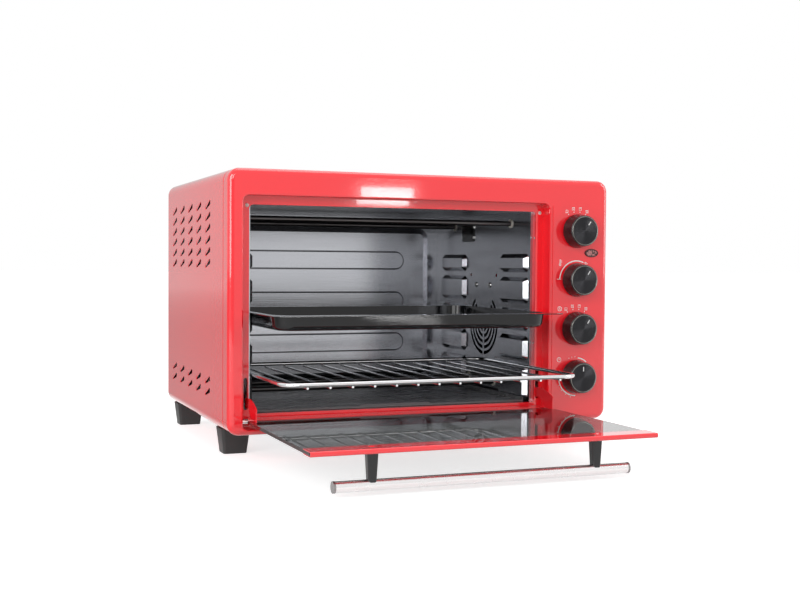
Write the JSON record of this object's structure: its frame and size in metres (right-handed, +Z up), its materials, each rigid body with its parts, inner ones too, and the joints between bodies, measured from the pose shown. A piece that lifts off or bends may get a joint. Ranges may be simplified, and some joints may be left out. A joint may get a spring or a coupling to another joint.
{
  "type": "tabletop convection oven",
  "caption": "Tabletop convection oven: a red sheet-metal cabinet with a louvred side, a drop-down glass door with a bar handle, turning control knobs, a black baking tray and a wire rack.",
  "frame": {"origin": "on the surface the feet stand on, in the middle of the whole footprint with the door open", "axes": "+X to the right seen from the front, -Y out of the front, +Z up"},
  "size_m": [0.56, 0.6916, 0.379],
  "materials": {
    "red_enamel": "gloss",
    "galvanised_sheet": "satin",
    "foot_plastic": "matte",
    "liner_steel": "satin",
    "heater_sheath": "satin",
    "ceramic": "satin",
    "lamp_glass": "gloss",
    "motor_steel": "satin",
    "zinc_screw": "satin",
    "control_plastic": "matte",
    "pilot_lens": "gloss",
    "door_glass": "gloss",
    "handle_steel": "satin",
    "black_plastic": "gloss",
    "knob_cap": "satin",
    "black_enamel": "gloss",
    "rack_chrome": "polished"
  },
  "bodies": {
    "cabinet": {"front_bezel": "red_enamel", "outer_wrap": "red_enamel", "base_plate": "galvanised_sheet", "rear_cover": "galvanised_sheet", "foot_front_left": "foot_plastic", "foot_front_right": "foot_plastic", "foot_rear_left": "foot_plastic", "foot_rear_right": "foot_plastic", "foot_screws": "zinc_screw", "cavity_side_left": "liner_steel", "cavity_side_right": "liner_steel", "cavity_back": "liner_steel", "cavity_top": "liner_steel", "cavity_floor": "liner_steel", "heater_upper_front": "heater_sheath", "heater_upper_rear": "heater_sheath", "heater_lower_front": "heater_sheath", "heater_lower_rear": "heater_sheath", "heater_bushes": "ceramic", "lamp_glass": "lamp_glass", "lamp_housing": "galvanised_sheet", "fan_shroud": "galvanised_sheet", "fan_motor": "motor_steel", "fan_screws": "zinc_screw", "control_plate": "galvanised_sheet", "upper_heat_switch": "control_plastic", "thermostat": "control_plastic", "function_switch": "control_plastic", "timer": "control_plastic", "pilot_lens": "pilot_lens", "cord_outlet": "foot_plastic", "rear_screws": "zinc_screw", "hinge_pins": "zinc_screw"},
    "door": {"door_glass": "door_glass", "door_top_channel": "red_enamel", "door_bottom_rail": "red_enamel", "door_ear_left": "red_enamel", "door_ear_right": "red_enamel", "handle_tube": "handle_steel", "handle_end_caps": "handle_steel", "handle_post_left": "black_plastic", "handle_post_right": "black_plastic", "handle_screws": "zinc_screw"},
    "fan": {"fan_blade": "motor_steel", "fan_shaft": "motor_steel"},
    "knob_upper_heat": {"knob_upper_heat": "black_plastic", "knob_cap_upper_heat": "knob_cap", "shaft_upper_heat": "zinc_screw"},
    "knob_thermostat": {"knob_thermostat": "black_plastic", "knob_cap_thermostat": "knob_cap", "shaft_thermostat": "zinc_screw"},
    "knob_function": {"knob_function": "black_plastic", "knob_cap_function": "knob_cap", "shaft_function": "zinc_screw"},
    "knob_timer": {"knob_timer": "black_plastic", "knob_cap_timer": "knob_cap", "shaft_timer": "zinc_screw"},
    "rack": {"wire_rack": "rack_chrome"},
    "tray": {"baking_tray": "black_enamel"},
    "crumb_tray": {"crumb_tray": "liner_steel"}
  },
  "joints": [
    {"name": "door_hinge", "type": "hinge", "parent": "cabinet", "child": "door", "pos_m": [-0.038, -0.05475, 0.0505], "axis": [-1, 0, 0], "range_deg": [0, 90]},
    {"name": "rack_slide", "type": "slide", "parent": "cabinet", "child": "rack", "axis": [0, 1, 0], "range_m": [0, 0.174]},
    {"name": "tray_slide", "type": "slide", "parent": "cabinet", "child": "tray", "axis": [0, 1, 0], "range_m": [0, 0.112]},
    {"name": "crumb_tray_slide", "type": "slide", "parent": "cabinet", "child": "crumb_tray", "axis": [0, 1, 0], "range_m": [-0.2, 0]},
    {"name": "fan_spin", "type": "hinge", "parent": "cabinet", "child": "fan", "pos_m": [0.1805, 0.11275, 0.166], "axis": [1, 0, 0], "continuous": true},
    {"name": "upper_heat_turn", "type": "hinge", "parent": "cabinet", "child": "knob_upper_heat", "pos_m": [0.2285, -0.08025, 0.3058], "axis": [0, 1, 0], "range_deg": [-60, 0]},
    {"name": "thermostat_turn", "type": "hinge", "parent": "cabinet", "child": "knob_thermostat", "pos_m": [0.2285, -0.08025, 0.2359], "axis": [0, 1, 0], "range_deg": [-125, 145]},
    {"name": "function_turn", "type": "hinge", "parent": "cabinet", "child": "knob_function", "pos_m": [0.2285, -0.08025, 0.1662], "axis": [0, 1, 0], "range_deg": [-60, 0]},
    {"name": "timer_turn", "type": "hinge", "parent": "cabinet", "child": "knob_timer", "pos_m": [0.2285, -0.08025, 0.0967], "axis": [0, 1, 0], "range_deg": [0, 300]}
  ],
  "couplings": [
    {"joint": "rack_slide", "follows": "door_hinge", "m_per_rad": 0.11077},
    {"joint": "tray_slide", "follows": "door_hinge", "m_per_rad": 0.071301}
  ]
}
